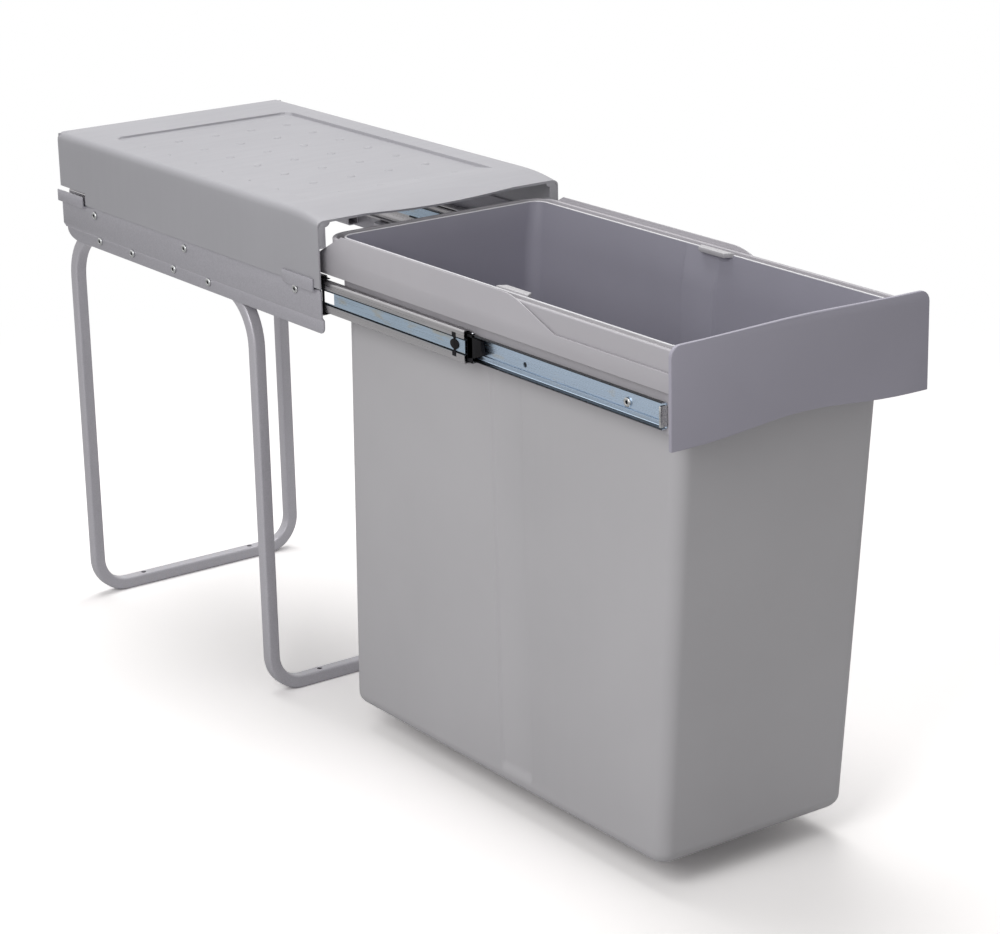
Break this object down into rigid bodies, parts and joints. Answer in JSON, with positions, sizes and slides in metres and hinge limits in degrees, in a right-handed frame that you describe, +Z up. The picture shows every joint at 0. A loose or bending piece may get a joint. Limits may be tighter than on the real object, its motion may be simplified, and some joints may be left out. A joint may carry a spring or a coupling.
{
  "type": "pull-out waste bin",
  "caption": "Cabinet pull-out bin: a covered bracket frame on tube hoops, ball-bearing slides, a holder with a front panel, and a bucket hung by its rim, shown fully open.",
  "frame": {"origin": "on the floor of the cabinet, at the middle of the part's bounding rectangle, under the front edge of the cover", "axes": "+Y back into the cabinet, +X to the right seen from the front, +Z up"},
  "size_m": [0.2558, 0.9432, 0.476],
  "materials": {
    "cover_plastic": "fine-grained grey moulding",
    "holder_plastic": "satin grey moulding",
    "panel_plastic": "satin dark grey moulding",
    "bucket_plastic": "satin grey moulding",
    "frame_paint": "silver-grey powder coat",
    "zinc_plated_steel": "bright zinc plating",
    "screw_steel": "bright zinc plating",
    "black_plastic": "black moulding"
  },
  "bodies": {
    "frame": {"cover": "cover_plastic", "bracket_left": "frame_paint", "bracket_right": "frame_paint", "leg_hoop_front": "frame_paint", "leg_hoop_rear": "frame_paint", "slide_outer_left": "zinc_plated_steel", "slide_outer_right": "zinc_plated_steel", "slide_screw_left_1": "screw_steel", "slide_screw_left_2": "screw_steel", "slide_screw_left_3": "screw_steel", "slide_screw_right_1": "screw_steel", "slide_screw_right_2": "screw_steel", "slide_screw_right_3": "screw_steel", "leg_screw_left_1": "screw_steel", "leg_screw_left_2": "screw_steel", "leg_screw_left_3": "screw_steel", "leg_screw_left_4": "screw_steel", "leg_screw_right_1": "screw_steel", "leg_screw_right_2": "screw_steel", "leg_screw_right_3": "screw_steel", "leg_screw_right_4": "screw_steel"},
    "carriage": {"holder": "holder_plastic", "front_panel": "panel_plastic", "slide_inner_left": "zinc_plated_steel", "slide_inner_right": "zinc_plated_steel", "bucket": "bucket_plastic", "holder_screw_left_1": "screw_steel", "holder_screw_left_2": "screw_steel", "holder_screw_right_1": "screw_steel", "holder_screw_right_2": "screw_steel"},
    "slide_middle_left_body": {"slide_middle_left": "zinc_plated_steel", "slide_bumper_left": "black_plastic"},
    "outer_cage_left_body": {"ball_cage_outer_left": "black_plastic"},
    "inner_cage_left_body": {"ball_cage_inner_left": "black_plastic"},
    "slide_middle_right_body": {"slide_middle_right": "zinc_plated_steel", "slide_bumper_right": "black_plastic"},
    "outer_cage_right_body": {"ball_cage_outer_right": "black_plastic"},
    "inner_cage_right_body": {"ball_cage_inner_right": "black_plastic"}
  },
  "joints": [
    {"name": "carriage_slide", "type": "slide", "parent": "frame", "child": "carriage", "axis": [0, 1, 0], "range_m": [0, 0.45]},
    {"name": "slide_middle_left_travel", "type": "slide", "parent": "frame", "child": "slide_middle_left_body", "axis": [0, 1, 0], "range_m": [0, 0.225]},
    {"name": "outer_cage_left_travel", "type": "slide", "parent": "frame", "child": "outer_cage_left_body", "axis": [0, 1, 0], "range_m": [0, 0.1125]},
    {"name": "inner_cage_left_travel", "type": "slide", "parent": "frame", "child": "inner_cage_left_body", "axis": [0, 1, 0], "range_m": [0, 0.3375]},
    {"name": "slide_middle_right_travel", "type": "slide", "parent": "frame", "child": "slide_middle_right_body", "axis": [0, 1, 0], "range_m": [0, 0.225]},
    {"name": "outer_cage_right_travel", "type": "slide", "parent": "frame", "child": "outer_cage_right_body", "axis": [0, 1, 0], "range_m": [0, 0.1125]},
    {"name": "inner_cage_right_travel", "type": "slide", "parent": "frame", "child": "inner_cage_right_body", "axis": [0, 1, 0], "range_m": [0, 0.3375]}
  ],
  "couplings": [
    {"joint": "slide_middle_left_travel", "follows": "carriage_slide", "ratio": 0.5},
    {"joint": "outer_cage_left_travel", "follows": "carriage_slide", "ratio": 0.25},
    {"joint": "inner_cage_left_travel", "follows": "carriage_slide", "ratio": 0.75},
    {"joint": "slide_middle_right_travel", "follows": "carriage_slide", "ratio": 0.5},
    {"joint": "outer_cage_right_travel", "follows": "carriage_slide", "ratio": 0.25},
    {"joint": "inner_cage_right_travel", "follows": "carriage_slide", "ratio": 0.75}
  ]
}
